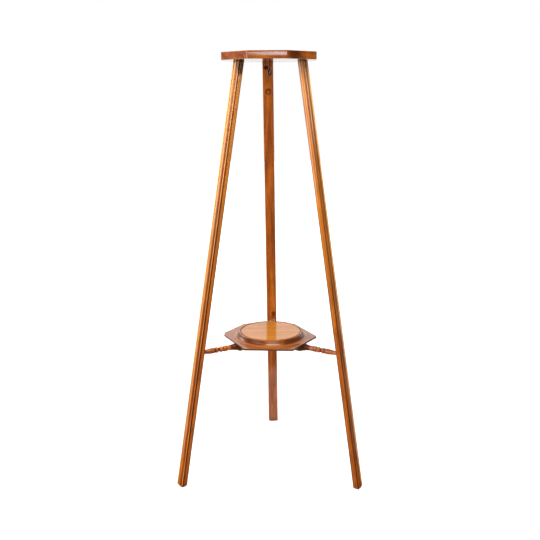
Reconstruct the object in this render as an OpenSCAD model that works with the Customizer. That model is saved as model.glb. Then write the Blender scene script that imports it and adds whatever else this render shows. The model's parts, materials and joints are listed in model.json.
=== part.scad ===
// Tall three-legged plant stand in polished wood: an octagonal top on three moulded legs
// that splay out to the floor, and a turned six-sided shelf carried low down between the
// legs on three turned arms. Millimetres, +Z up. The origin is on the floor, in the middle
// of the rectangle that the feet stand in.

/* [Stand] */
// Overall height, from the floor to the top
overall_h = 1065; // [1000:5:1150]
// Radius of the circle that the legs' centre lines meet the floor on
foot_circle_r = 258.5; // [240:1:280]
// Radius of the circle that the legs' centre lines meet the top on
top_circle_r = 85.5; // [80:1:92]
// How far round the leg tops stand from the feet, in degrees
leg_turn = 5; // [0:0.5:6]
// How far round the top and the shelf stand from the feet, the other way, in degrees
board_turn = 1.3; // [0:0.1:3]

/* [Top] */
// Width of the octagonal top across its flats
top_across = 222; // [216:1:240]
// Diameter of the round blank that the top's corners are worn back to
top_blank_d = 239; // [238:0.5:240]
// Thickness of the top
top_t = 18; // [16:0.5:22]
// Width of the worn arris round the top's edges
top_arris = 1; // [0.5:0.1:2]

/* [Legs] */
// Width of a leg across its moulded face
leg_w = 26.6; // [26:0.2:29]
// Thickness of a leg, from its flat inner face to the front of its corner beads
leg_t = 15; // [14.6:0.2:16]
// Radius of the wide reed down the middle of the moulded face
reed_r = 6.2; // [5.8:0.1:6.4]
// How far that reed stands in front of the corner beads
reed_proud = 1.6; // [1:0.1:2]
// Radius of the beads down the two outer corners
bead_r = 1.9; // [1.7:0.1:2.1]
// Depth of the quirk between the reed and each corner bead
quirk_depth = 2.8; // [2.4:0.1:3]
// Radius of the flute down each side
flute_r = 2.9; // [2.7:0.1:3.1]
// Chamfer round the bottom of each foot
foot_chamfer = 5; // [3:0.5:6]

/* [Shelf] */
// Height of the flat border of the shelf above the floor
shelf_h = 360; // [330:1:390]
// Width of the six-sided shelf across its corners, before they wore
shelf_across = 240; // [236:1:250]
// How much further out the back left side was sawn than the other five
shelf_long_side = 12; // [0:0.5:14]
// How far the shelf's corners are worn back
corner_wear = 1.3; // [0.5:0.1:2]
// How far the two corners beside the long side are worn back
long_wear = 5.5; // [2:0.5:7]
// Thickness of the shelf at its edge
shelf_edge_t = 5; // [4:0.5:6]
// Height of the turned disc above the border
disc_rise = 13.4; // [11:0.2:14]
// Diameter of the flat face of the disc
disc_d = 152; // [148:1:156]
// Diameter at the foot of the cove round the disc
cove_foot_d = 192; // [190:1:196]
// Radius of the cove
cove_r = 12.5; // [12:0.5:13]

/* [Arms] */
// How far the arms' centre line lies below the border of the shelf
arm_drop = 13; // [12:0.5:16]
// Radius of an arm at its neck, which runs on into the leg
arm_neck_r = 5.3; // [5:0.1:5.6]
// Radius of the vase next to the leg
vase_r = 7.2; // [6.8:0.1:7.6]
// Radius of the waist behind the trumpet
waist_r = 6.4; // [6:0.1:6.8]
// Radius of the trumpet where it is widest
trumpet_r = 13; // [12:0.5:14]
// Width of the six-sided hub across its flats
hub_across = 64; // [60:1:70]

/* [Fixings] */
// Diameter of the dowels between the legs and the top
dowel_d = 8; // [6:1:9]
// Diameter of the wood screws' heads
screw_head_d = 7; // [6:0.5:7.5]
// Diameter of the wood screws' shanks
screw_shank_d = 3.5; // [3:0.25:4]
// Outer diameter of the steel eye under the top
eye_d = 17; // [14:1:18]
// Diameter of the wire that the eye is bent from
eye_wire_d = 3.4; // [3:0.1:3.6]
// Diameter of the plug in the back leg
plug_d = 9.5; // [8:0.5:10]

/* [Hidden] */
$fn = 64;

// Directions of the three legs round the stand's axis
back_az = 90;
left_az = 210;
right_az = 330;
leg_azimuths = [back_az, left_az, right_az];

// The stand's axis lies in front of the middle of the feet's rectangle
back_reach = foot_circle_r + leg_t / 2 + reed_proud;
front_reach = foot_circle_r * sin(30) + leg_w / 2 * cos(30) + leg_t / 2 * sin(30);
axis_y = -(back_reach - front_reach) / 2;

// A leg drawn along +X: its foot, the spot where it meets the top, and its lean
top_sides = 8;
under_top = overall_h - top_t;
leg_top = [top_circle_r * cos(leg_turn), top_circle_r * sin(leg_turn)];
leg_run = [foot_circle_r - leg_top[0], -leg_top[1]];
lean_az = atan2(leg_run[1], leg_run[0]);
lean = atan2(norm(leg_run), under_top);
leg_len = norm([leg_run[0], leg_run[1], under_top]);
spare = 20;
overlap = 1;

// The leg's section: x points out of the stand, y runs across the leg
reed_x = leg_t / 2 + reed_proud - reed_r;
bead_x = leg_t / 2 - bead_r;
bead_y = leg_w / 2 - bead_r;
quirk_x = leg_t / 2 - quirk_depth;
flute_land = 0.75;
flute_x = bead_x - flute_r - flute_land;
flute_shallow = 0.5;
flute_y = leg_w / 2 + flute_shallow;
inner_chamfer = 1.2;

// Shelf and arm levels
shelf_sides = 6;
shelf_under = shelf_h - shelf_edge_t;
arm_h = shelf_h - arm_drop;
ridge_r = 2.2;
groove_w = 2.2;
groove_floor = disc_rise - 1.6;
ridge_x = disc_d / 2 + groove_w + ridge_r;
cove_step = 0.3;
shelf_arris = 0.8;
// The shelf's sides, counted round from the right: the long one is the third
long_side = 2;
side_reach = shelf_across / 2 * cos(180 / shelf_sides);
long_corner = shelf_across / 2 + shelf_long_side / sin(360 / shelf_sides) * sin(180 / shelf_sides);

// Where the arms meet a leg's inner face, and where they meet the hub
leg_line_r = foot_circle_r - leg_run[0] * arm_h / under_top;
leg_face_r = leg_line_r - leg_t / 2 / cos(lean);
hub_face_r = hub_across / 2;
arm_len = leg_face_r - hub_face_r;
leg_tenon_l = 7;
hub_tenon_r = 6;
hub_tenon_l = 15;

// Stations along an arm, measured from the leg's inner face
vase_from = 10;
vase_widest = 31;
vase_lip_r = 1.6;
vase_swell = vase_r - arm_neck_r;
vase_curve_r = (pow(vase_widest - vase_from, 2) + pow(vase_swell, 2)) / (2 * vase_swell);
collar_at = 39.2;
collar_r = 7.5;
collar_round = 3;
necking_r = 6.2;
ball_at = 51.6;
ball_r = 7.3;
ball_round = 4.4;
ring_at = 60.9;
ring_r = 7.5;
ring_round = 2.4;
fillet_to = 67;
fillet_step = 0.6;
waist_at = 71.5;
trumpet_curve_r = 80;
trumpet_rise = trumpet_r - waist_r;
trumpet_run = sqrt(pow(trumpet_curve_r, 2) - pow(trumpet_curve_r - trumpet_rise, 2));

// Hub
hub_margin = 0.5;
hub_h = shelf_under - arm_h + trumpet_r + hub_margin;
hub_screw_circle_r = 17;

// Fixings
dowel_half = 12;
head_h = 2.6;
head_sunk = 0.8;
arm_screw_l = 38;
shelf_screw_bite = 11;
shelf_screw_l = hub_h + shelf_screw_bite;
slot_w = 1;
slot_depth = 1;
eye_shank = 21;
eye_thread_l = 12;
eye_turned = 67.5;
plug_t = 6;
plug_z = 976;

// Places its children on the stand's axis, turned to the direction az
module towards(az) {
    translate([0, axis_y, 0]) rotate([0, 0, az]) children();
}

// Cuts a chamfer c wide along a straight edge that lies across +X, reach away
module arris_cut(reach, z, c) {
    translate([reach, 0, z])
        rotate([0, 45, 0])
            cube([c * sqrt(2), reach * 2, c * sqrt(2)], center = true);
}

// A countersunk wood screw that points down, with the top of its head at the origin
module screw_body(length) {
    translate([0, 0, -head_h]) cylinder(h = head_h, d1 = screw_shank_d, d2 = screw_head_d);
    translate([0, 0, -length]) cylinder(h = length, d = screw_shank_d);
}

module slotted_screw(length) {
    difference() {
        screw_body(length);
        cube([screw_head_d + overlap, slot_w, slot_depth * 2], center = true);
    }
}

// ---- Top ----

module top() {
    inradius = top_across / 2;
    color("sienna")
    difference() {
        translate([0, axis_y, under_top])
            difference() {
                rotate([0, 0, 180 / top_sides - board_turn])
                    difference() {
                        intersection() {
                            cylinder(h = top_t, r = inradius / cos(180 / top_sides), $fn = top_sides);
                            cylinder(h = top_t, d = top_blank_d, $fn = 128);
                        }
                        for (i = [0 : top_sides - 1])
                            rotate([0, 0, (i + 0.5) * 360 / top_sides]) {
                                arris_cut(inradius, top_t, top_arris);
                                arris_cut(inradius, 0, top_arris);
                            }
                    }
                translate([0, 0, -overlap])
                    cylinder(h = eye_thread_l + overlap, d = eye_wire_d);
            }
        for (az = leg_azimuths) towards(az) dowel();
    }
}

// ---- Legs ----

// Flat inner face, a flute down each side, a bead down each outer corner and a wide reed
// down the middle of the outer face
module leg_section() {
    difference() {
        union() {
            translate([-leg_t / 2, -leg_w / 2]) square([quirk_x + leg_t / 2, leg_w]);
            translate([reed_x, 0]) circle(r = reed_r);
            for (side = [-1, 1])
                translate([bead_x, side * bead_y]) circle(r = bead_r);
        }
        for (side = [-1, 1]) {
            translate([flute_x, side * flute_y]) circle(r = flute_r);
            translate([-leg_t / 2, side * leg_w / 2])
                rotate(45) square(inner_chamfer * sqrt(2), center = true);
        }
    }
}

// Carries its children from the leg's own axis to a leg that stands along +X
module lean_leg() {
    translate([foot_circle_r, 0, 0])
        rotate([0, -lean, lean_az])
            rotate([0, 0, leg_turn - lean_az])
                children();
}

module foot_chamfers() {
    reaches = [leg_t / 2 + reed_proud, leg_w / 2, leg_t / 2, leg_w / 2];
    translate([foot_circle_r, 0, 0])
        rotate([0, 0, leg_turn])
            for (i = [0 : 3])
                rotate([0, 0, 90 * i])
                    translate([reaches[i], 0, 0])
                        rotate([0, 45, 0])
                            cube([foot_chamfer * sqrt(2), leg_w * 2, foot_chamfer * sqrt(2)],
                                center = true);
}

module leg() {
    difference() {
        intersection() {
            lean_leg()
                translate([0, 0, -spare])
                    linear_extrude(height = leg_len + 2 * spare) leg_section();
            translate([0, -foot_circle_r, 0])
                cube([foot_circle_r * 2, foot_circle_r * 2, under_top]);
        }
        foot_chamfers();
        dowel();
        translate([leg_face_r - spare, 0, arm_h])
            rotate([0, 90, 0])
                cylinder(h = leg_tenon_l + spare, r = arm_neck_r);
        arm_screw_place() screw_body(arm_screw_l);
    }
}

module leg_left() {
    color("peru") towards(left_az) leg();
}

module leg_right() {
    color("peru") towards(right_az) leg();
}

module leg_back() {
    color("peru")
    difference() {
        towards(back_az) leg();
        towards(back_az) plug_place() cylinder(h = plug_t, d = plug_d);
    }
}

// ---- Shelf ----

// Half section of the turned disc, its rim and the cove that runs down to the border
module disc_section() {
    square([disc_d / 2, disc_rise]);
    translate([ridge_x, groove_floor]) circle(r = ridge_r);
    difference() {
        square([cove_foot_d / 2, groove_floor]);
        translate([cove_foot_d / 2, cove_r + cove_step]) circle(r = cove_r);
    }
}

// Saws away all that lies further out than reach along +X
module sawn_off(reach) {
    translate([reach, -shelf_across, -overlap])
        cube([shelf_across, shelf_across * 2, shelf_edge_t + 2 * overlap]);
}

// Six-sided board with its sides sawn straight, its corners worn and its arrises eased
module shelf_board() {
    difference() {
        translate([-shelf_across, -shelf_across, 0])
            cube([shelf_across * 2, shelf_across * 2, shelf_edge_t]);
        for (i = [0 : shelf_sides - 1]) {
            reach = i == long_side ? side_reach + shelf_long_side : side_reach;
            rotate([0, 0, (i + 0.5) * 360 / shelf_sides]) {
                sawn_off(reach);
                arris_cut(reach, 0, shelf_arris);
                arris_cut(reach, shelf_edge_t, shelf_arris);
            }
            by_long_side = i == long_side || i == long_side + 1;
            rotate([0, 0, i * 360 / shelf_sides])
                sawn_off(by_long_side ? long_corner - long_wear : shelf_across / 2 - corner_wear);
        }
    }
}

module shelf() {
    color("chocolate")
    difference() {
        translate([0, axis_y, shelf_h])
            union() {
                rotate_extrude($fn = 128)
                    union() {
                        translate([0, -shelf_edge_t]) square([disc_d / 2, shelf_edge_t * 2]);
                        disc_section();
                    }
                translate([0, 0, -shelf_edge_t])
                    rotate([0, 0, -board_turn])
                        shelf_board();
            }
        shelf_screw_places() screw_body(shelf_screw_l);
    }
}

module hub() {
    color("saddlebrown")
    difference() {
        translate([0, axis_y, shelf_under - hub_h])
            cylinder(h = hub_h, r = hub_face_r / cos(180 / shelf_sides), $fn = shelf_sides);
        for (az = leg_azimuths)
            towards(az)
                translate([hub_face_r - hub_tenon_l, 0, arm_h])
                    rotate([0, 90, 0])
                        cylinder(h = hub_tenon_l + overlap, r = hub_tenon_r);
        shelf_screw_places() screw_body(shelf_screw_l);
    }
}

// ---- Arms ----

// Half section of an arm: x is the radius, y the distance from the leg's inner face
module arm_section() {
    translate([0, -leg_tenon_l]) square([arm_neck_r, leg_tenon_l + waist_at + overlap]);
    // Vase, with a rounded lip
    intersection() {
        translate([vase_r - vase_curve_r, vase_widest]) circle(r = vase_curve_r, $fn = 256);
        translate([0, vase_from]) square([vase_r, vase_widest - vase_from]);
    }
    translate([vase_r - vase_lip_r, vase_widest]) circle(r = vase_lip_r);
    // Collar, with a shallow necking up to the vase
    translate([0, vase_widest]) square([necking_r, collar_at - vase_widest]);
    translate([collar_r - collar_round, collar_at]) circle(r = collar_round);
    // Ball and ring, with a shallow necking between them
    intersection() {
        translate([ball_r - ball_round, ball_at]) circle(r = ball_round);
        translate([0, ball_at - ball_round]) square([ball_r, ball_round * 2]);
    }
    translate([0, ball_at]) square([necking_r, ring_at - ball_at]);
    translate([ring_r - ring_round, ring_at]) circle(r = ring_round);
    // Fillet and waist
    translate([0, ring_at]) square([waist_r + fillet_step, fillet_to - ring_at]);
    translate([0, fillet_to - overlap]) square([waist_r, waist_at - fillet_to + 2 * overlap]);
    // Trumpet, a straight stretch up to the hub, and the tenon
    difference() {
        translate([0, waist_at]) square([trumpet_r, trumpet_run]);
        translate([waist_r + trumpet_curve_r, waist_at]) circle(r = trumpet_curve_r, $fn = 256);
    }
    translate([0, waist_at + trumpet_run - overlap])
        square([trumpet_r, arm_len - waist_at - trumpet_run + overlap]);
    translate([0, arm_len - overlap]) square([hub_tenon_r, hub_tenon_l + overlap]);
}

// An arm along +X, with a flat planed on its trumpet where the shelf rests on it
module arm() {
    difference() {
        translate([leg_face_r, 0, arm_h])
            rotate([0, -90, 0])
                rotate_extrude() arm_section();
        translate([hub_face_r - overlap, -trumpet_r * 2, shelf_under])
            cube([arm_len - waist_at, trumpet_r * 4, trumpet_r]);
        arm_screw_place() screw_body(arm_screw_l);
    }
}

module arm_back() {
    color("indianred") towards(back_az) arm();
}

module arm_left() {
    color("indianred") towards(left_az) arm();
}

module arm_right() {
    color("indianred") towards(right_az) arm();
}

// ---- Fixings ----

// Puts a screw through a leg into the end of its arm, with its head sunk in the reed
module arm_screw_place() {
    translate([leg_line_r + leg_t / 2 + reed_proud - head_sunk, 0, arm_h])
        rotate([0, 90, 0])
            children();
}

module arm_screws() {
    color("gray")
    for (az = leg_azimuths) towards(az) arm_screw_place() slotted_screw(arm_screw_l);
}

// Puts screws up through the hub into the shelf, between the arms
module shelf_screw_places() {
    for (az = leg_azimuths)
        towards(az + 60)
            translate([hub_screw_circle_r, 0, shelf_under - hub_h])
                rotate([180, 0, 0])
                    children();
}

module shelf_screws() {
    color("gray") shelf_screw_places() slotted_screw(shelf_screw_l);
}

// A dowel between a leg that stands along +X and the top
module dowel() {
    translate([leg_top[0], leg_top[1], under_top - dowel_half])
        cylinder(h = dowel_half * 2, d = dowel_d);
}

module leg_dowels() {
    color("burlywood") for (az = leg_azimuths) towards(az) dowel();
}

// Screw eye in the middle of the top's underside
module hanging_eye() {
    ring_r = (eye_d - eye_wire_d) / 2;
    color("dimgray")
    translate([0, axis_y, under_top])
        rotate([0, 0, eye_turned])
            union() {
                translate([0, 0, -eye_shank])
                    cylinder(h = eye_shank + eye_thread_l, d = eye_wire_d);
                translate([0, 0, -eye_shank - ring_r])
                    rotate([90, 0, 0])
                        rotate_extrude()
                            translate([ring_r, 0]) circle(d = eye_wire_d);
            }
}

// Plug in the inner face of the back leg, drawn along +X
module plug_place() {
    lean_leg()
        translate([-leg_t / 2, 0, plug_z / cos(lean)])
            rotate([0, 90, 0])
                children();
}

module leg_plug() {
    color("tan") towards(back_az) plug_place() cylinder(h = plug_t, d = plug_d);
}

top();
leg_back();
leg_left();
leg_right();
leg_dowels();
shelf();
hub();
arm_back();
arm_left();
arm_right();
arm_screws();
shelf_screws();
hanging_eye();
leg_plug();
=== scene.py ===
"""Looks of a tall three-legged plant stand in varnished wood, built around its CAD solids."""

import json
import math

import bpy
from mathutils import Matrix, Vector

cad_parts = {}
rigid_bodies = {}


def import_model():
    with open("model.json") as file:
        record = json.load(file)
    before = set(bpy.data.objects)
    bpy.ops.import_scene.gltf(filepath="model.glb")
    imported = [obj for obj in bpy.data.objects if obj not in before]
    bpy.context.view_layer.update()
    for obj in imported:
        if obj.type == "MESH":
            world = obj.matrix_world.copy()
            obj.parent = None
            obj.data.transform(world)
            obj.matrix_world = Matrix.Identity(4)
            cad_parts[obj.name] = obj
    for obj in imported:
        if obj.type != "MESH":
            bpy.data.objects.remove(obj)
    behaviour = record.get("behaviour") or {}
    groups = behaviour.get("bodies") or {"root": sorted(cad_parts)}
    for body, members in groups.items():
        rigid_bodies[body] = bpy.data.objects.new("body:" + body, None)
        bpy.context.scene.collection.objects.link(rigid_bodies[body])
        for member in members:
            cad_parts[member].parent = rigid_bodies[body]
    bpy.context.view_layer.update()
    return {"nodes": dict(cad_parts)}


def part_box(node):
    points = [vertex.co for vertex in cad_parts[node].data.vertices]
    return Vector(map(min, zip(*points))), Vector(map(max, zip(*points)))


bl_info = {
    "name": "Wooden plant stand",
    "version": (1, 0, 0),
    "blender": (4, 5, 0),
    "location": "View3D > Sidebar > Plant stand",
    "description": "Varnishes and stages a tall three-legged plant stand",
    "category": "Object",
}

for leftover in list(bpy.data.objects):
    bpy.data.objects.remove(leftover, do_unlink=True)

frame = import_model()
NODES = frame["nodes"]

TOP_LOW, TOP_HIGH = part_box("top")
AXIS_Y = (TOP_LOW[1] + TOP_HIGH[1]) / 2
TOP_T = TOP_HIGH[2] - TOP_LOW[2]
FOOT_CIRCLE = 0.2585
TOP_CIRCLE = 0.0855
LEG_TURN = math.radians(5)
LEG_AZIMUTHS = {"leg_back": 90.0, "leg_left": 210.0, "leg_right": 330.0}
ARM_AZIMUTHS = {"arm_back": 90.0, "arm_left": 210.0, "arm_right": 330.0}

# How far the flat border of the shelf lies below the face of its disc, the radii where the
# border begins and of the steep part of the cove, which gets painted shade, and the border's
# own shade
SHELF_RISE = 0.0134
SHELF_BORDER = (0.0770, 0.0780)
SHELF_COVE = (0.0822, 0.0884)
BORDER_TONE = (0.60, 0.47, 1.6)
# Where the arms meet a leg's inner face, from the stand's axis; then, from that face, the
# gaps between an arm's turned members, which are painted dark, and the place where it goes
# under the shelf, from where the shelf's shadow is painted on it
LEG_FACE = 0.1937
ARM_GROOVES = ((0.0, 0.002), (0.0325, 0.0362), (0.0422, 0.0472), (0.0560, 0.0585),
               (0.0635, 0.0655))
ARM_UNDER_SHELF = 0.078
# How each arm's stain is multiplied: painted light on the left arm and painted shade on
# the right arm, as the light falls from the left
ARM_LIGHT_AND_SHADE = {"arm_back": (1.0, 1.0, 1.0), "arm_left": (1.35, 1.45, 1.6),
             "arm_right": (0.74, 0.66, 0.70)}
# Parts of a leg's section, each from where it begins to where it is full: the moulded
# part and the front, outwards from the middle of the thickness, the bare and the other
# half, across the front, the flank, out from the middle of the width, and the inner
# corner. The flank of the bare half has its own dark band.
MOULDED_PART = (-0.0072, -0.0062)
FRONT_PART = (0.0030, 0.0050)
BARE_HALF = (0.0005, 0.0025)
OTHER_HALF = (0.0, -0.0015)
FLANK_PART = (0.0090, 0.0098)
INNER_CORNER = (-0.0036, -0.0052)
BARE_FLUTE = (0.0016, 0.0044)
BAND_SOFT = 0.0005
# How dark the bands beside the reed and along the inner corners are
QUIRK_DARK = 0.65
CORNER_DARK = 0.75
# For each leg the side its bare outer half is on, the dark bands beside the reed and on
# the other half's flank, and its dark marks: centre in the leg's axes, half sizes,
# strength. The back leg has a dark patch just below the top, the ring round the plug, a
# stain above the shelf and painted shade on one side; the left leg has a painted shadow under
# the top.
LEG_MARKS = {
    "leg_back": (1, (0.0028, 0.0068), (0.0012, 0.0048),
                 (((-0.0075, 0.0045, 1.049), (0.004, 0.0072, 0.0065), 0.9),
                  ((-0.0075, 0.0, 0.990), (0.004, 0.0094, 0.0094), 0.95),
                  ((-0.0075, -0.005, 0.367), (0.004, 0.007, 0.009), 0.7),
                  ((-0.0075, -0.010, 0.62), (0.008, 0.011, 0.24), 0.35))),
    "leg_left": (-1, (0.0028, 0.0068), (0.0012, 0.0062),
                 (((0.0, 0.0133, 1.046), (0.012, 0.008, 0.022), 0.8),)),
    "leg_right": (1, (0.0006, 0.0048), (0.0036, 0.0074), ()),
}

# Figure of the grain at which its light and dark bands show fully
FULL_FIGURE = 0.45
# How far out the floor fades to white, how much it glows there, and half its width
FLOOR_FADE = (0.6, 2.6)
FAR_GLOW = 0.6
FLOOR_HALF = 9.0


# ---- Node trees -------------------------------------------------------------------------


class Tree:
    """A material's or world's node tree, with short calls to add and join nodes."""

    def __init__(self, owner):
        owner.use_nodes = True
        self.nodes = owner.node_tree.nodes
        self.links = owner.node_tree.links
        self.nodes.clear()

    def add(self, kind, settings=None, **inputs):
        """Adds a node; inputs are values or other nodes' sockets, named by socket."""
        node = self.nodes.new("ShaderNode" + kind)
        for key, value in (settings or {}).items():
            setattr(node, key, value)
        for key, value in inputs.items():
            self.put(node.inputs[self.socket_name(node, key)], value)
        return node

    @staticmethod
    def socket_name(node, key):
        wanted = key.replace("_", " ").lower()
        for index, socket in enumerate(node.inputs):
            if socket.name.lower() == wanted:
                return index
        raise KeyError(f"{node.bl_idname} has no socket {key}")

    def put(self, socket, value):
        if isinstance(value, bpy.types.NodeSocket):
            self.links.new(value, socket)
        else:
            socket.default_value = value

    def math(self, operation, a, b=0.0):
        node = self.nodes.new("ShaderNodeMath")
        node.operation = operation
        self.put(node.inputs[0], a)
        self.put(node.inputs[1], b)
        return node.outputs[0]

    def ramp(self, value, stops, smooth=False):
        """Colour ramp; stops are (position, grey or colour)."""
        node = self.nodes.new("ShaderNodeValToRGB")
        node.color_ramp.interpolation = "EASE" if smooth else "LINEAR"
        marks = node.color_ramp.elements
        while len(marks) < len(stops):
            marks.new(0.5)
        for mark, (position, shade) in zip(marks, stops):
            mark.position = position
            grey = isinstance(shade, (int, float))
            mark.color = (shade, shade, shade, 1) if grey else (*shade[:3], 1)
        self.put(node.inputs[0], value)
        return node.outputs[0]

    def rise(self, value, low, high):
        """0 at low and 1 at high, with a smooth step between them."""
        node = self.nodes.new("ShaderNodeMapRange")
        node.interpolation_type = "SMOOTHSTEP"
        for index, item in enumerate((value, low, high, 0.0, 1.0)):
            self.put(node.inputs[index], item)
        return node.outputs[0]

    def band(self, value, low, high, soft):
        """1 between low and high, falling to 0 within soft of either."""
        return self.math("MULTIPLY", self.rise(value, low - soft, low + soft),
                         self.rise(value, high + soft, high - soft))

    def mix(self, factor, a, b, blend="MIX"):
        """Colour mix of a and b."""
        node = self.nodes.new("ShaderNodeMix")
        node.data_type = "RGBA"
        node.blend_type = blend
        self.put(node.inputs[0], factor)
        self.put(node.inputs[6], a)
        self.put(node.inputs[7], b)
        return node.outputs[2]

    def length(self, vector):
        node = self.nodes.new("ShaderNodeVectorMath")
        node.operation = "LENGTH"
        self.put(node.inputs[0], vector)
        return node.outputs["Value"]

    def noise(self, vector, scale, detail=2.0, roughness=0.5, distortion=0.0):
        node = self.add("TexNoise", {}, Vector=vector, Scale=scale, Detail=detail,
                        Roughness=roughness, Distortion=distortion)
        return node.outputs[0]


def rgba(colour):
    return (*colour[:3], 1.0)


# ---- Materials --------------------------------------------------------------------------


def turned(angle, axis):
    return Matrix.Rotation(angle, 4, axis)


def leg_frame(azimuth):
    """A leg's own axes: x out of the stand, y across the leg, z from its foot to its top."""
    run = (FOOT_CIRCLE - TOP_CIRCLE * math.cos(LEG_TURN), -TOP_CIRCLE * math.sin(LEG_TURN))
    lean_azimuth = math.atan2(run[1], run[0])
    lean = math.atan2(math.hypot(*run), TOP_LOW[2])
    return (Matrix.Translation((0, AXIS_Y, 0)) @ turned(math.radians(azimuth), "Z")
            @ Matrix.Translation((FOOT_CIRCLE, 0, 0)) @ turned(lean_azimuth, "Z")
            @ turned(-lean, "Y") @ turned(LEG_TURN - lean_azimuth, "Z"))


def board_frame(height):
    """Axes of a level board whose grain runs from left to right."""
    return Matrix.Translation((0, AXIS_Y, height)) @ turned(math.pi / 2, "Y")


def level_frame(azimuth, height):
    """Axes of a level turning whose grain runs out of the stand."""
    return (Matrix.Translation((0, AXIS_Y, height)) @ turned(math.radians(azimuth), "Z")
            @ turned(math.pi / 2, "Y"))


def place_in(tree, axes):
    """Object coordinates in the given axes."""
    back = axes.inverted()
    place = tree.add("TexCoord").outputs["Object"]
    return tree.add("Mapping", {"vector_type": "POINT"}, Vector=place,
                    Location=back.to_translation(), Rotation=back.to_euler()).outputs[0]


def stretched(tree, vector, across, along, offset=(0, 0, 0)):
    return tree.add("Mapping", {"vector_type": "POINT"}, Vector=vector, Location=offset,
                    Scale=(across, across, along)).outputs[0]


def edge_wear(tree, width):
    """1 on a sharp outer edge, 0 on a flat, from the rounded normal against the true one."""
    soft = tree.add("Bevel", {"samples": 6}, Radius=width).outputs[0]
    true = tree.add("NewGeometry").outputs["Normal"]
    dot = tree.nodes.new("ShaderNodeVectorMath")
    dot.operation = "DOT_PRODUCT"
    tree.put(dot.inputs[0], soft)
    tree.put(dot.inputs[1], true)
    return tree.ramp(dot.outputs["Value"], [(0.80, 1.0), (0.985, 0.0)])


def spot(tree, place, centre, size, edge=0.6):
    """1 inside a soft ellipsoid of the given half sizes, 0 outside."""
    near = tree.add("Mapping", {"vector_type": "POINT"}, Vector=place,
                    Location=[-c / r for c, r in zip(centre, size)],
                    Scale=[1 / r for r in size]).outputs[0]
    return tree.ramp(tree.length(near), [(edge, 1.0), (1.0, 0.0)], smooth=True)


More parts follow.
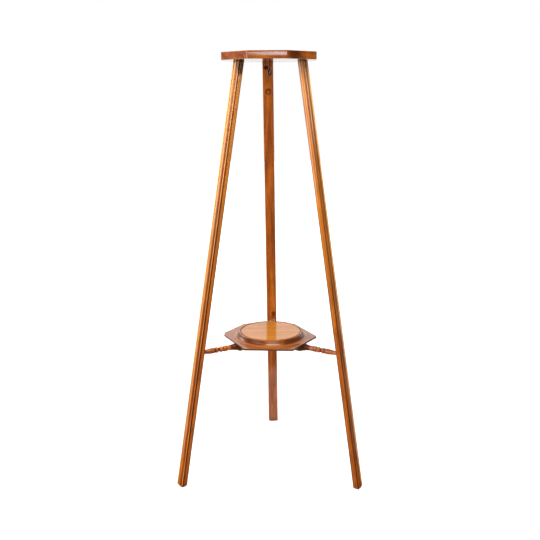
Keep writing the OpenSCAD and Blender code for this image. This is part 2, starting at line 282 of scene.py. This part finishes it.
def varnished_wood(name, settings, axes, offset=(0, 0, 0), marks=None, round_edge=0.0,
                   ripple=1.0, figure=FULL_FIGURE, tone=(1.0, 1.0, 1.0), grime_and_shade=1.0):
    """Stained and varnished wood with its grain along the z of the given axes.

    marks(tree, place, colour) returns the colour with marks of its own and how matt they
    are, round_edge is how much the varnish swells over the middle of a level board's edge,
    ripple is how unevenly the varnish lies, figure is how strongly the streaks and clouds
    of the grain show, tone is the piece's own shade of the stain, and for the side arms
    painted light and shade, and the last argument is its share of the set amount of
    darkening by occlusion: dirt and painted shade in grooves and where pieces meet."""
    material = bpy.data.materials.new(name)
    tree = Tree(material)
    place = place_in(tree, axes)

    band = tree.noise(stretched(tree, place, 55, 4.5, offset), 1.0, 3.0, 0.55, 0.8)
    streak = tree.noise(stretched(tree, place, 520, 14, offset), 1.0, 3.0, 0.6)
    cloud = tree.noise(stretched(tree, place, 34, 20, offset), 1.0, 3.0, 0.6)
    pore = tree.noise(stretched(tree, place, 1500, 110, offset), 1.0, 1.0, 0.5)

    dark, mid, light = settings.stain_dark, settings.stain_mid, settings.stain_light
    colour = tree.ramp(band, [(0.30, dark), (0.5, mid), (0.70, light)])
    colour = tree.mix(1.0 - figure / FULL_FIGURE, colour, rgba(mid))
    colour = tree.mix(figure, colour, tree.ramp(streak, [(0.35, 0.65), (0.65, 1.35)]),
                      "MULTIPLY")
    colour = tree.mix(figure, colour, tree.ramp(cloud, [(0.35, 0.70), (0.65, 1.30)]),
                      "MULTIPLY")
    fleck = tree.ramp(pore, [(0.30, 1.0), (0.40, 0.0)])
    colour = tree.mix(tree.math("MULTIPLY", fleck, 0.5), colour, rgba(settings.pore_dirt_and_shade))
    colour = tree.mix(1.0, colour, rgba(tone), "MULTIPLY")
    matt = 0.0
    if marks:
        colour, matt = marks(tree, place, colour)

    # Darkening by ambient occlusion: dirt and painted shade in the piece's own grooves, and
    # painted shade where pieces meet, as under the top and the shelf; it also takes off gloss
    groove = tree.add("AmbientOcclusion", {"samples": 8, "only_local": True},
                      Distance=settings.grime_and_shade_reach).outputs["AO"]
    joint = tree.add("AmbientOcclusion", {"samples": 8},
                     Distance=settings.joint_shade_reach).outputs["AO"]
    grime_and_occlusion_shade = tree.math("MAXIMUM", tree.ramp(groove, [(0.40, 1.0), (0.86, 0.0)], smooth=True),
                       tree.ramp(joint, [(0.42, 1.0), (0.80, 0.0)], smooth=True))
    grime_and_occlusion_shade = tree.math("MULTIPLY", grime_and_occlusion_shade, settings.grime_and_shade * grime_and_shade)
    colour = tree.mix(grime_and_occlusion_shade, colour, rgba(settings.pore_dirt_and_shade))
    matt = tree.math("MAXIMUM", grime_and_occlusion_shade, matt)
    gloss = tree.math("SUBTRACT", 1.0, tree.math("MULTIPLY", matt, 0.85))

    wear = tree.math("MULTIPLY", edge_wear(tree, settings.wear_width),
                     tree.ramp(cloud, [(0.35, 0.25), (0.6, 1.0)]))
    colour = tree.mix(tree.math("MULTIPLY", wear, settings.wear), colour,
                      rgba(settings.stain_worn))

    height = tree.math("ADD", tree.math("MULTIPLY", streak, 0.5),
                       tree.math("MULTIPLY", fleck, -0.5))
    bump = tree.add("Bump", {}, Strength=0.2, Distance=0.0003, Height=height).outputs[0]
    wave = tree.noise(stretched(tree, place, 45, 30, offset), 1.0, 1.0, 0.5)
    varnish = tree.add("Bump", {}, Strength=0.12 * ripple, Distance=0.0006,
                       Height=wave).outputs[0]
    if round_edge:
        across = tree.add("SeparateXYZ", {}, Vector=place).outputs[0]
        swell = tree.math("MULTIPLY", tree.math("MULTIPLY", across, across), -round_edge)
        varnish = tree.add("Bump", {}, Strength=1.0, Distance=1.0, Height=swell,
                           Normal=varnish).outputs[0]
    rough = tree.ramp(tree.noise(place, 120.0, 4.0, 0.6),
                      [(0.3, settings.roughness * 0.8), (0.7, settings.roughness * 1.3)])

    shader = tree.add("BsdfPrincipled", {}, Base_Color=colour, Roughness=rough, Normal=bump,
                      Coat_Normal=varnish, IOR=1.45, Specular_IOR_Level=0.1,
                      Coat_Weight=gloss, Coat_Roughness=settings.varnish_roughness,
                      Coat_IOR=1.5)
    tree.add("OutputMaterial", {}, Surface=shader.outputs[0])
    return material


def leg_marks(settings, outer, quirk, flute, spots=()):
    """Marks of a leg: its mouldings are rubbed to a golden tone, more so high up, the outer
    half of their front is almost bare, and dark bands lie in the quirks and flutes and
    along the inner corners, darker towards the foot.

    outer is the side the bare half is on, quirk is the dark band beside the reed, as
    distances from the leg's middle, and flute is the dark band on the other half's flank,
    as distances out from the middle of the thickness; each spot is (centre, half sizes,
    strength)."""
    def marks(tree, place, colour):
        axes = tree.add("SeparateXYZ", {}, Vector=place)
        out, side, up = axes.outputs
        side = tree.math("MULTIPLY", side, outer)
        across = tree.math("ABSOLUTE", side)
        patch = tree.noise(stretched(tree, place, 60, 9), 1.0, 2.0, 0.5)
        patchy = tree.math("MULTIPLY", tree.rise(patch, 0.20, 0.45), settings.rubbed)

        moulded = tree.rise(out, *MOULDED_PART)
        high = tree.ramp(up, [(0.35, 0.0), (0.60, 0.3), (0.87, 0.4), (1.0, 0.6)])
        rubbed = tree.math("MULTIPLY", tree.math("MULTIPLY", moulded, high), patchy)
        colour = tree.mix(rubbed, colour, rgba(settings.stain_rubbed))
        bare = tree.math("MULTIPLY", tree.rise(out, *FRONT_PART),
                         tree.rise(side, *BARE_HALF))
        bare = tree.math("MULTIPLY", bare, tree.ramp(up, [(0.2, 0.6), (0.6, 1.0)]))
        colour = tree.mix(tree.math("MULTIPLY", bare, tree.rise(patch, 0.10, 0.35)), colour,
                          rgba(settings.stain_bare))

        other = tree.rise(side, *OTHER_HALF)
        beside = tree.math("MULTIPLY", tree.band(across, *quirk, BAND_SOFT), other)
        beside = tree.math("MULTIPLY", beside, QUIRK_DARK)
        flank = tree.rise(across, *FLANK_PART)
        other_flute = tree.math("MULTIPLY", tree.band(out, *flute, BAND_SOFT), other)
        bare_flute = tree.math("MULTIPLY", tree.band(out, *BARE_FLUTE, BAND_SOFT),
                               tree.math("SUBTRACT", 1.0, other))
        fluted = tree.math("MULTIPLY", tree.math("MAXIMUM", other_flute, bare_flute), flank)
        corner = tree.math("MULTIPLY", tree.rise(out, *INNER_CORNER), flank)
        beyond = tree.math("MAXIMUM", fluted, tree.math("MULTIPLY", corner, CORNER_DARK))
        beyond = tree.math("MULTIPLY", beyond, tree.ramp(up, [(0.30, 1.0), (0.87, 0.8)]))
        groove = tree.math("MAXIMUM", beside, beyond)
        groove = tree.math("MULTIPLY", groove, tree.ramp(patch, [(0.3, 1.0), (0.7, 0.8)]))
        groove = tree.math("MULTIPLY", groove, moulded)
        colour = tree.mix(groove, colour, rgba(settings.dark_band_and_shade))
        # Dark spots, among them painted shade on one side of the back leg and a painted shadow
        # under the top on the left leg
        for centre, size, strength in spots:
            dark = tree.math("MULTIPLY", spot(tree, place, centre, size), strength)
            colour = tree.mix(dark, colour, rgba(settings.pore_dirt_and_shade))
            groove = tree.math("MAXIMUM", groove, dark)
        return colour, groove
    return marks


def top_marks(settings):
    """Marks of the top: painted shade in a patch on its right front side."""
    def marks(tree, place, colour):
        # Painted shade on the right front side
        middle, half_sizes = (0.0, -0.100, 0.066), (0.03, 0.030, 0.040)
        patch = tree.math("MULTIPLY", spot(tree, place, middle, half_sizes, 0.2), 0.8)
        return tree.mix(patch, colour, rgba(settings.dark_band_and_shade)), patch
    return marks


def shelf_marks(settings):
    """Marks of the shelf: its border is redder than its disc, and painted shade darkens the
    steep faces of its edge below the border and the steep part of the cove round the disc,
    less so at a place at the front that keeps its gloss."""
    def marks(tree, place, colour):
        facing = tree.add("SeparateXYZ", {}, Vector=tree.add("NewGeometry").outputs["Normal"])
        steep = tree.rise(tree.math("ABSOLUTE", facing.outputs[2]), 0.90, 0.75)
        axes = tree.add("SeparateXYZ", {}, Vector=place)
        depth = tree.math("ABSOLUTE", axes.outputs[0])
        lip = tree.math("MULTIPLY", steep,
                        tree.rise(depth, SHELF_RISE - 0.0002, SHELF_RISE))
        flat = tree.add("CombineXYZ", {}, X=axes.outputs[1], Y=axes.outputs[2])
        radius = tree.length(flat.outputs[0])
        border = tree.rise(radius, *SHELF_BORDER)
        colour = tree.mix(border, colour, rgba(BORDER_TONE), "MULTIPLY")
        cove = tree.band(radius, *SHELF_COVE, 0.0006)
        patch = tree.ramp(tree.noise(place, 30.0), [(0.35, 0.7), (0.6, 0.95)])
        middle, half_sizes = (0.0, -0.085, 0.014), (0.03, 0.020, 0.036)
        glossy_front = spot(tree, place, middle, half_sizes, 0.5)
        patch = tree.math("MULTIPLY", patch,
                          tree.math("SUBTRACT", 1.0, tree.math("MULTIPLY", glossy_front, 0.75)))
        # Painted shade on the steep edge below the border and in the cove
        dark = tree.math("MAXIMUM", tree.math("MULTIPLY", lip, 0.9),
                         tree.math("MULTIPLY", cove, patch))
        return tree.mix(dark, colour, rgba(settings.shelf_edge_shade)), dark
    return marks


def arm_marks(settings):
    """Marks of an arm: dark bands between its turned members, and the shelf's shadow painted
    on it where its trumpet goes under the shelf. Stations are measured from the leg's inner
    face."""
    def marks(tree, place, colour):
        along = tree.add("SeparateXYZ", {}, Vector=place).outputs[2]
        station = tree.math("SUBTRACT", LEG_FACE, along)
        # The shelf's shadow painted on the trumpet where it goes under the shelf
        dark = tree.rise(station, ARM_UNDER_SHELF - 0.006, ARM_UNDER_SHELF + 0.002)
        for low, high in ARM_GROOVES:
            dark = tree.math("MAXIMUM", dark, tree.band(station, low, high, 0.0008))
        dark = tree.math("MULTIPLY", dark, 0.9)
        return tree.mix(dark, colour, rgba(settings.dark_band_and_shade)), dark
    return marks


def tarnished_steel(name, settings, tone=(1.0, 1.0, 1.0)):
    """Dull steel wire with darker spots of tarnish and brighter rubbed places."""
    material = bpy.data.materials.new(name)
    tree = Tree(material)
    place = tree.add("TexCoord").outputs["Object"]
    spots = tree.noise(place, 420.0, 4.0, 0.65)
    colour = tree.ramp(spots, [(0.35, settings.steel_dark), (0.62, settings.steel_light)])
    wear = edge_wear(tree, 0.0006)
    colour = tree.mix(tree.math("MULTIPLY", wear, 0.5), colour, rgba(settings.steel_worn))
    colour = tree.mix(1.0, colour, rgba(tone), "MULTIPLY")
    rough = tree.ramp(spots, [(0.3, 0.5), (0.7, 0.28)])
    bump = tree.add("Bump", {}, Strength=0.3, Distance=0.0002, Height=spots).outputs[0]
    shader = tree.add("BsdfPrincipled", {}, Base_Color=colour, Roughness=rough, Normal=bump,
                      Metallic=1.0)
    tree.add("OutputMaterial", {}, Surface=shader.outputs[0])
    return material


def dress(node, material):
    """Gives a CAD node its material."""
    for slot in NODES[node].material_slots:
        slot.material = material


# ---- Settings ---------------------------------------------------------------------------


def colour_property(name, description, default):
    return bpy.props.FloatVectorProperty(name=name, description=description, default=default,
                                         subtype="COLOR", size=3, min=0.0, max=1.0)


class StandWood(bpy.types.PropertyGroup):
    """Stain and varnish of the wood"""

    stain_dark: colour_property("Dark stain", "Stain in the dark bands of the grain",
                                (0.22, 0.042, 0.003))
    stain_mid: colour_property("Stain", "Stain between dark and light bands",
                               (0.42, 0.095, 0.006))
    stain_light: colour_property("Light stain", "Stain in the light bands of the grain",
                                 (0.62, 0.17, 0.014))
    # Colour of the pores, of dirt and painted shade in grooves and where pieces meet, and of
    # the legs' dark spots, two of them painted shade
    pore_dirt_and_shade: colour_property("Pores and grime", "Pores, and grime in the grooves",
                                (0.028, 0.007, 0.002))
    # Colour of the legs' dark bands, of the painted shade on the top, and of the shelf's
    # shadow painted on the arms
    dark_band_and_shade: colour_property("Grooves", "Dark first coat in the legs' mouldings",
                                  (0.055, 0.010, 0.0015))
    # Colour of the painted shade on the shelf's steep edge and in its cove
    shelf_edge_shade: colour_property("Shelf's edge", "Dark first coat on the shelf's sawn edge",
                               (0.10, 0.022, 0.003))
    stain_worn: colour_property("Worn edge", "Bare wood on rubbed edges",
                                (0.74, 0.36, 0.11))
    stain_bare: colour_property("Bare moulding", "Almost bare wood on the legs' outer beads",
                                (0.92, 0.44, 0.06))
    stain_rubbed: colour_property("Rubbed moulding", "Golden tone of the legs' mouldings",
                                  (0.86, 0.32, 0.022))
    rubbed: bpy.props.FloatProperty(name="Rubbed", default=0.9, min=0.0, max=1.0,
                                    description="How rubbed the legs' mouldings are",
                                    subtype="FACTOR")
    roughness: bpy.props.FloatProperty(name="Roughness", default=0.36, min=0.0, max=1.0,
                                       description="Roughness of the wood", subtype="FACTOR")
    varnish_roughness: bpy.props.FloatProperty(
        name="Varnish roughness", default=0.10, min=0.0, max=1.0, subtype="FACTOR",
        description="Roughness of the varnish over the wood")
    wear: bpy.props.FloatProperty(name="Wear", default=0.2, min=0.0, max=1.0,
                                  description="How bare the rubbed edges are",
                                  subtype="FACTOR")
    wear_width: bpy.props.FloatProperty(name="Wear width", default=0.0007, unit="LENGTH",
                                        description="How far wear reaches from an edge")
    # How strong the darkening by occlusion is: dirt, and painted shade in grooves and where
    # pieces meet
    grime_and_shade: bpy.props.FloatProperty(name="Grime", default=0.85, min=0.0, max=1.0,
                                   description="Dark grime in grooves and corners",
                                   subtype="FACTOR")
    # How far the darkening in a piece's own grooves reaches: dirt and painted shade
    grime_and_shade_reach: bpy.props.FloatProperty(name="Grime reach", default=0.006, unit="LENGTH",
                                         description="How far out of a groove grime reaches")
    # How far the painted shade reaches from where two pieces meet
    joint_shade_reach: bpy.props.FloatProperty(
        name="Joint grime reach", default=0.030, unit="LENGTH",
        description="How far grime reaches from where two pieces meet")


class StandFittings(bpy.types.PropertyGroup):
    """Finish of the steel fittings"""

    steel_dark: colour_property("Dark steel", "Tarnished steel", (0.045, 0.036, 0.034))
    steel_light: colour_property("Steel", "Clean steel", (0.15, 0.13, 0.125))
    steel_worn: colour_property("Rubbed steel", "Rubbed edges of the steel",
                                (0.72, 0.68, 0.64))


class StandStage(bpy.types.PropertyGroup):
    """Floor, light and camera"""

    world_strength: bpy.props.FloatProperty(name="Room light", default=0.24, min=0.0,
                                            description="Light from all round")
    front_reflection: bpy.props.FloatProperty(
        name="Front reflection", default=0.12, min=0.0, max=1.0, subtype="FACTOR",
        description="How bright the studio in front of the stand is in the varnish")
    floor_glow: bpy.props.FloatProperty(name="Floor glow", default=0.66, min=0.0,
                                        description="How far the floor is lifted to white")
    key_power: bpy.props.FloatProperty(name="Left lamp", default=52.0, min=0.0, unit="POWER",
                                       description="Power of the large lamp on the left")
    rim_power: bpy.props.FloatProperty(name="Rim lamp", default=32.0, min=0.0, unit="POWER",
                                       description="Power of the lamp on the left behind")
    fill_power: bpy.props.FloatProperty(name="Right lamp", default=3.0, min=0.0,
                                        unit="POWER",
                                        description="Power of the lamp on the right")
    over_power: bpy.props.FloatProperty(name="Overhead lamp", default=56.0, min=0.0,
                                        unit="POWER",
                                        description="Power of the lamp overhead")
    glint_power: bpy.props.FloatProperty(
        name="Window lamp", default=28.0, min=0.0, unit="POWER",
        description="Power of the lamp behind the camera that shines in the varnish")
    camera_distance: bpy.props.FloatProperty(name="Camera distance", default=1.813,
                                             unit="LENGTH",
                                             description="From the stand's axis")
    camera_height: bpy.props.FloatProperty(name="Camera height", default=0.9722,
                                           unit="LENGTH", description="Above the floor")
    camera_round: bpy.props.FloatProperty(name="Camera turn", default=math.radians(1.62),
                                          subtype="ANGLE",
                                          description="How far the camera stands round")
    camera_swing: bpy.props.FloatProperty(name="Camera swing", default=math.radians(0.03),
                                          subtype="ANGLE",
                                          description="How far the camera looks past the axis")
    camera_pitch: bpy.props.FloatProperty(name="Camera pitch", default=math.radians(13.56),
                                          subtype="ANGLE",
                                          description="How far the camera looks down")
    camera_roll: bpy.props.FloatProperty(name="Camera roll", default=math.radians(-0.2),
                                         subtype="ANGLE",
                                         description="How far the camera leans sideways")
    camera_lens: bpy.props.FloatProperty(name="Lens", default=48.93, min=1.0,
                                         description="Focal length in millimetres")


# ---- Operators --------------------------------------------------------------------------


class STAND_OT_top(bpy.types.Operator):
    """Varnish the octagonal top"""

    bl_idname = "stand.top"
    bl_label = "Top"

    def execute(self, context):
        wood = context.scene.stand_wood
        axes = board_frame(TOP_LOW[2] + TOP_T / 2)
        dress("top", varnished_wood("top_varnish", wood, axes, (0.3, 0.1, 0.2),
                                    top_marks(wood), round_edge=5.0, ripple=0.15,
                                    tone=(0.58, 0.54, 0.36)))
        return {"FINISHED"}


class STAND_OT_legs(bpy.types.Operator):
    """Varnish the three moulded legs"""

    bl_idname = "stand.legs"
    bl_label = "Legs"

    def execute(self, context):
        wood = context.scene.stand_wood
        for count, (node, azimuth) in enumerate(LEG_AZIMUTHS.items()):
            offset = (3.1 * count, 1.7 * count, 2.3 * count)
            dress(node, varnished_wood(node + "_varnish", wood, leg_frame(azimuth), offset,
                                       leg_marks(wood, *LEG_MARKS[node]), grime_and_shade=0.5))
        return {"FINISHED"}


class STAND_OT_shelf(bpy.types.Operator):
    """Varnish the turned shelf"""

    bl_idname = "stand.shelf"
    bl_label = "Shelf"

    def execute(self, context):
        wood = context.scene.stand_wood
        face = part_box("shelf")[1][2]
        dress("shelf", varnished_wood("shelf_varnish", wood, board_frame(face),
                                      (5.1, 0.5, 0.7), shelf_marks(wood),
                                      ripple=0.35, figure=0.18, tone=(1.32, 2.0, 1.3)))
        return {"FINISHED"}


class STAND_OT_arms(bpy.types.Operator):
    """Varnish the turned arms and the hub that they meet in"""

    bl_idname = "stand.arms"
    bl_label = "Arms and hub"

    def execute(self, context):
        wood = context.scene.stand_wood
        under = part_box("hub")[0][2]
        for count, (node, azimuth) in enumerate(ARM_AZIMUTHS.items()):
            # The left arm's tone is painted light, the right arm's painted shade
            dress(node, varnished_wood(node + "_varnish", wood, level_frame(azimuth, under),
                                       (2.0 * count, 0.4, 0.1), arm_marks(wood),
                                       tone=ARM_LIGHT_AND_SHADE[node]))
        dress("hub", varnished_wood("hub_varnish", wood, board_frame(under),
                                    (0.6, 0.2, 0.1)))
        return {"FINISHED"}


class STAND_OT_fixings(bpy.types.Operator):
    """Finish the screws, the eye, the plug and the dowels"""

    bl_idname = "stand.fixings"
    bl_label = "Fixings"

    def execute(self, context):
        fittings = context.scene.stand_fittings
        dress("hanging_eye", tarnished_steel("steel_finish", fittings, (0.45, 0.42, 0.42)))
        brown = tarnished_steel("screw_finish", fittings, (0.25, 0.18, 0.14))
        for node in ("arm_screws", "shelf_screws"):
            dress(node, brown)
        plug = varnished_wood("plug_varnish", context.scene.stand_wood,
                              leg_frame(LEG_AZIMUTHS["leg_back"]), (4.4, 1.4, 0.2),
                              tone=(0.9, 0.8, 0.8))
        for node in ("leg_dowels", "leg_plug"):
            dress(node, plug)
        return {"FINISHED"}


def area_lamp(name, place, target, size, power, colour=(1, 1, 1)):
    lamp = bpy.data.lights.new(name, "AREA")
    lamp.shape = "RECTANGLE"
    lamp.size, lamp.size_y = size
    lamp.energy = power
    lamp.color = colour
    holder = bpy.data.objects.new(name, lamp)
    holder.location = place
    holder.rotation_mode = "QUATERNION"
    holder.rotation_quaternion = (Vector(target) - Vector(place)).to_track_quat("-Z", "Y")
    bpy.context.collection.objects.link(holder)
    return holder


def seen_directly(tree):
    """1 for rays that show the stage itself, from the camera, a gloss or through glass,
    and 1 for those from a gloss or through glass alone."""
    path = tree.add("LightPath")
    gloss = tree.math("MAXIMUM", path.outputs["Is Glossy Ray"],
                      path.outputs["Is Transmission Ray"])
    return tree.math("MAXIMUM", path.outputs["Is Camera Ray"], gloss), gloss


def studio_world(stage):
    """White backdrop behind the stand; a gloss sees the unlit studio in front as dim."""
    world = bpy.data.worlds.new("studio")
    bpy.context.scene.world = world
    tree = Tree(world)
    seen, gloss = seen_directly(tree)
    way = tree.add("SeparateXYZ", {}, Vector=tree.add("TexCoord").outputs["Generated"])
    behind = tree.ramp(way.outputs[1], [(0.45, stage.front_reflection), (0.8, 1.0)])
    shown = tree.mix(gloss, (1, 1, 1, 1), behind)
    lit = tree.add("Background", {}, Color=(1, 1, 1, 1), Strength=stage.world_strength)
    white = tree.add("Background", {}, Color=shown, Strength=1.0)
    both = tree.add("MixShader", {}, Fac=seen)
    tree.put(both.inputs[1], lit.outputs[0])
    tree.put(both.inputs[2], white.outputs[0])
    tree.add("OutputWorld", {}, Surface=both.outputs[0])


def floor_material(stage):
    """Pale floor that keeps the stand's shadow, lifted to white where it is seen, and dim
    in a gloss where it lies in front of the stand."""
    material = bpy.data.materials.new("studio_floor")
    tree = Tree(material)
    place = tree.add("TexCoord").outputs["Object"]
    seen, gloss = seen_directly(tree)
    tone = tree.ramp(tree.noise(place, 3.0, 2.0, 0.5), [(0.3, 0.58), (0.7, 0.60)])
    paint = tree.add("BsdfDiffuse", {}, Color=tone, Roughness=0.5)
    far = tree.rise(tree.length(place), *FLOOR_FADE)
    lift = tree.math("ADD", tree.math("MULTIPLY", far, FAR_GLOW), stage.floor_glow)
    glow = tree.add("Emission", {}, Color=(1, 1, 1, 1), Strength=lift)
    none = tree.add("Emission", {}, Color=(0, 0, 0, 1), Strength=0.0)
    shown = tree.add("MixShader", {}, Fac=seen)
    tree.put(shown.inputs[1], none.outputs[0])
    tree.put(shown.inputs[2], glow.outputs[0])
    total = tree.add("AddShader", {})
    tree.put(total.inputs[0], paint.outputs[0])
    tree.put(total.inputs[1], shown.outputs[0])
    depth = tree.add("SeparateXYZ", {}, Vector=place).outputs[1]
    front = tree.math("LESS_THAN", depth, AXIS_Y)
    dim = tree.add("Emission", {}, Color=(1, 1, 1, 1), Strength=stage.front_reflection)
    surface = tree.add("MixShader", {}, Fac=tree.math("MULTIPLY", front, gloss))
    tree.put(surface.inputs[1], total.outputs[0])
    tree.put(surface.inputs[2], dim.outputs[0])
    tree.add("OutputMaterial", {}, Surface=surface.outputs[0])
    return material


def add_floor(stage):
    half = FLOOR_HALF
    mesh = bpy.data.meshes.new("floor")
    mesh.from_pydata([(-half, -half, 0), (half, -half, 0), (half, half, 0),
                      (-half, half, 0)], [], [(0, 1, 2, 3)])
    floor = bpy.data.objects.new("floor", mesh)
    bpy.context.collection.objects.link(floor)
    mesh.materials.append(floor_material(stage))


def add_lamps(stage):
    """Lamps round the stand, aimed at its middle, and the window lamp behind the camera,
    tilted and aimed level."""
    middle = (0, AXIS_Y, 0.6)
    area_lamp("key_lamp", (-2.0, AXIS_Y - 1.3, 1.5), middle, (2.0, 2.2), stage.key_power)
    area_lamp("rim_lamp", (-2.05, AXIS_Y + 1.05, 1.3), middle, (1.0, 1.6), stage.rim_power)
    area_lamp("fill_lamp", (2.3, AXIS_Y - 1.4, 1.3), middle, (1.4, 1.8), stage.fill_power)
    area_lamp("over_lamp", (0.25, AXIS_Y - 1.2, 2.7), middle, (1.6, 1.4), stage.over_power)
    window = area_lamp("window_lamp", (0.52, AXIS_Y - 3.4, 1.55), (0.52, AXIS_Y, 1.55),
                       (1.76, 0.48), stage.glint_power, (0.88, 0.98, 1.0))
    tilt = Matrix.Rotation(math.radians(-14), 3, "Y").to_quaternion()
    window.rotation_quaternion = tilt @ window.rotation_quaternion


def add_camera(stage):
    lens = bpy.data.cameras.new("photo_camera")
    lens.lens = stage.camera_lens
    lens.sensor_width = 36.0
    camera = bpy.data.objects.new("photo_camera", lens)
    bpy.context.collection.objects.link(camera)
    round_by = stage.camera_round
    camera.location = (math.sin(round_by) * stage.camera_distance,
                       AXIS_Y - math.cos(round_by) * stage.camera_distance,
                       stage.camera_height)
    look = Matrix.Rotation(round_by + stage.camera_swing, 3, "Z")
    look @= Matrix.Rotation(math.pi / 2 - stage.camera_pitch, 3, "X")
    look @= Matrix.Rotation(stage.camera_roll, 3, "Z")
    camera.rotation_euler = look.to_euler()
    return camera


class STAND_OT_stage(bpy.types.Operator):
    """Build the floor, the lamps and the camera"""

    bl_idname = "stand.stage"
    bl_label = "Stage"

    def execute(self, context):
        scene = context.scene
        stage = scene.stand_stage
        scene.view_settings.view_transform = "Standard"
        studio_world(stage)
        add_floor(stage)
        add_lamps(stage)
        scene.camera = add_camera(stage)
        return {"FINISHED"}


class STAND_PT_panel(bpy.types.Panel):
    """Lists the stand's pieces and settings"""

    bl_idname = "STAND_PT_panel"
    bl_label = "Plant stand"
    bl_space_type = "VIEW_3D"
    bl_region_type = "UI"
    bl_category = "Plant stand"

    def draw(self, context):
        column = self.layout.column()
        for operator in OPERATORS:
            column.operator(operator.bl_idname)
        for group in ("stand_wood", "stand_fittings", "stand_stage"):
            settings = getattr(context.scene, group)
            box = self.layout.box()
            for key in settings.bl_rna.properties.keys():
                if key not in ("rna_type", "name"):
                    box.prop(settings, key)


OPERATORS = (STAND_OT_top, STAND_OT_legs, STAND_OT_shelf, STAND_OT_arms, STAND_OT_fixings,
             STAND_OT_stage)
GROUPS = {"stand_wood": StandWood, "stand_fittings": StandFittings,
          "stand_stage": StandStage}


def register():
    for cls in (*GROUPS.values(), *OPERATORS, STAND_PT_panel):
        bpy.utils.register_class(cls)
    for name, cls in GROUPS.items():
        setattr(bpy.types.Scene, name, bpy.props.PointerProperty(type=cls))


def unregister():
    for name in GROUPS:
        delattr(bpy.types.Scene, name)
    for cls in reversed((*GROUPS.values(), *OPERATORS, STAND_PT_panel)):
        bpy.utils.unregister_class(cls)


def main():
    register()
    for operator in OPERATORS:
        group, name = operator.bl_idname.split(".")
        getattr(getattr(bpy.ops, group), name)()


if __name__ == "__main__":
    main()
